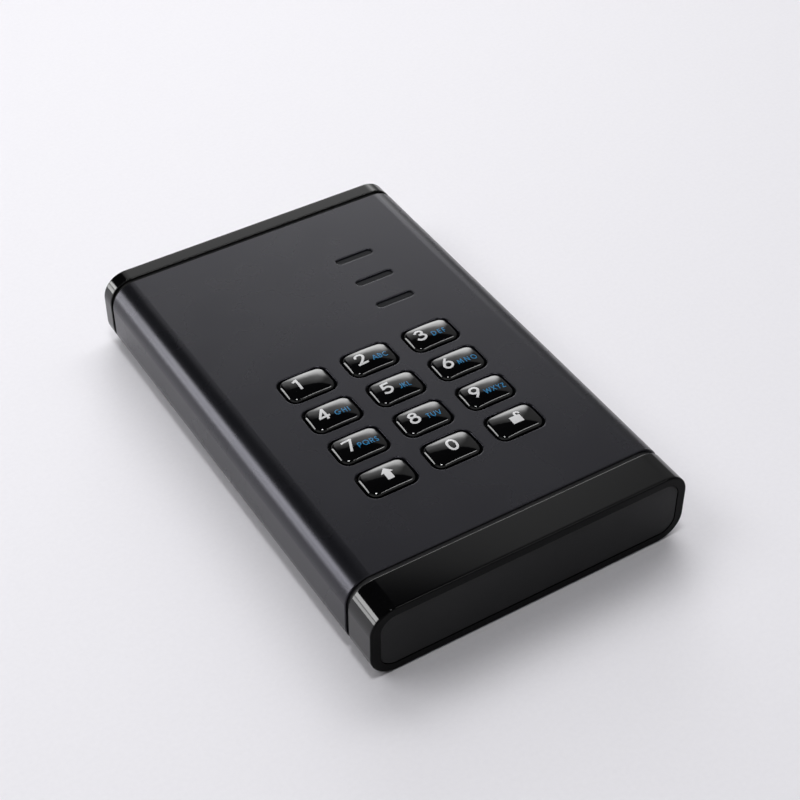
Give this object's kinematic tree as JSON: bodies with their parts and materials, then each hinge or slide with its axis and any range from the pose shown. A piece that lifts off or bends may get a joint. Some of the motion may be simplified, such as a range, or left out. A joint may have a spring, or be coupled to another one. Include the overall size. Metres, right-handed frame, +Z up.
{
  "type": "encrypted external solid state drive",
  "caption": "Rounded slab-shaped portable solid state drive in a dark metal sleeve with glossy end caps, a keypad on top that unlocks it and slotted status lights.",
  "frame": {"origin": "middle of the underside, on the surface the drive lies on", "axes": "+X across the keypad from the 1 key to the 3 key, +Y along the drive from the front panel to the socket end, +Z up out of the keys"},
  "size_m": [0.084, 0.1334, 0.0212],
  "materials": {
    "sleeve_metal": "dark anodised, satin",
    "cap_gloss": "moulded, gloss",
    "panel_matte": "fine matte",
    "seal_rubber": "matte",
    "screw_steel": "plated",
    "key_gloss": "gloss, printed legends",
    "keymat_rubber": "soft matte",
    "light_lens": "smoked, clear",
    "board_laminate": "green coated laminate",
    "contact_plating": "plated",
    "lamp_body": "moulded",
    "chip_body": "moulded",
    "epoxy_black": "cast",
    "foam_grey": "open foam",
    "drive_case": "stamped, fine matte",
    "tray_plastic": "moulded",
    "connector_plastic": "moulded",
    "socket_steel": "drawn",
    "cable_film": "film"
  },
  "bodies": {
    "enclosure": {"enclosure_sleeve": "sleeve_metal", "front_end_cap": "cap_gloss", "rear_end_cap": "cap_gloss", "front_panel": "panel_matte", "front_gasket": "seal_rubber", "rear_gasket": "seal_rubber", "front_cap_screws": "screw_steel", "rear_cap_screws": "screw_steel", "keymat": "keymat_rubber", "status_light_pipe_1": "light_lens", "status_light_pipe_2": "light_lens", "status_light_pipe_3": "light_lens", "keypad_board": "board_laminate", "key_contacts": "contact_plating", "status_lamps": "lamp_body", "secure_controller": "chip_body", "encryption_controller": "chip_body", "epoxy_cover": "epoxy_black", "foam_pad": "foam_grey", "ssd_base": "drive_case", "ssd_cover": "drive_case", "ssd_board": "board_laminate", "ssd_flash_chips": "chip_body", "ssd_controller": "chip_body", "ssd_plug": "connector_plastic", "drive_tray": "tray_plastic", "drive_screws": "screw_steel", "bridge_board": "board_laminate", "bridge_screws": "screw_steel", "bridge_controller": "chip_body", "drive_receptacle": "connector_plastic", "usb_shell": "socket_steel", "usb_insulator": "connector_plastic", "keypad_connector": "connector_plastic", "bridge_connector": "connector_plastic", "flex_cable": "cable_film"},
    "key_1": {"key_1": "key_gloss"},
    "key_2": {"key_2": "key_gloss"},
    "key_3": {"key_3": "key_gloss"},
    "key_4": {"key_4": "key_gloss"},
    "key_5": {"key_5": "key_gloss"},
    "key_6": {"key_6": "key_gloss"},
    "key_7": {"key_7": "key_gloss"},
    "key_8": {"key_8": "key_gloss"},
    "key_9": {"key_9": "key_gloss"},
    "key_shift": {"key_shift": "key_gloss"},
    "key_0": {"key_0": "key_gloss"},
    "key_unlock": {"key_unlock": "key_gloss"}
  },
  "joints": [
    {"name": "key_1_press", "type": "slide", "parent": "enclosure", "child": "key_1", "axis": [0, 0, -1], "range_m": [0, 0.0008], "stiffness_N_per_m": 2000},
    {"name": "key_2_press", "type": "slide", "parent": "enclosure", "child": "key_2", "axis": [0, 0, -1], "range_m": [0, 0.0008], "stiffness_N_per_m": 2000},
    {"name": "key_3_press", "type": "slide", "parent": "enclosure", "child": "key_3", "axis": [0, 0, -1], "range_m": [0, 0.0008], "stiffness_N_per_m": 2000},
    {"name": "key_4_press", "type": "slide", "parent": "enclosure", "child": "key_4", "axis": [0, 0, -1], "range_m": [0, 0.0008], "stiffness_N_per_m": 2000},
    {"name": "key_5_press", "type": "slide", "parent": "enclosure", "child": "key_5", "axis": [0, 0, -1], "range_m": [0, 0.0008], "stiffness_N_per_m": 2000},
    {"name": "key_6_press", "type": "slide", "parent": "enclosure", "child": "key_6", "axis": [0, 0, -1], "range_m": [0, 0.0008], "stiffness_N_per_m": 2000},
    {"name": "key_7_press", "type": "slide", "parent": "enclosure", "child": "key_7", "axis": [0, 0, -1], "range_m": [0, 0.0008], "stiffness_N_per_m": 2000},
    {"name": "key_8_press", "type": "slide", "parent": "enclosure", "child": "key_8", "axis": [0, 0, -1], "range_m": [0, 0.0008], "stiffness_N_per_m": 2000},
    {"name": "key_9_press", "type": "slide", "parent": "enclosure", "child": "key_9", "axis": [0, 0, -1], "range_m": [0, 0.0008], "stiffness_N_per_m": 2000},
    {"name": "key_shift_press", "type": "slide", "parent": "enclosure", "child": "key_shift", "axis": [0, 0, -1], "range_m": [0, 0.0008], "stiffness_N_per_m": 2000},
    {"name": "key_0_press", "type": "slide", "parent": "enclosure", "child": "key_0", "axis": [0, 0, -1], "range_m": [0, 0.0008], "stiffness_N_per_m": 2000},
    {"name": "key_unlock_press", "type": "slide", "parent": "enclosure", "child": "key_unlock", "axis": [0, 0, -1], "range_m": [0, 0.0008], "stiffness_N_per_m": 2000}
  ]
}
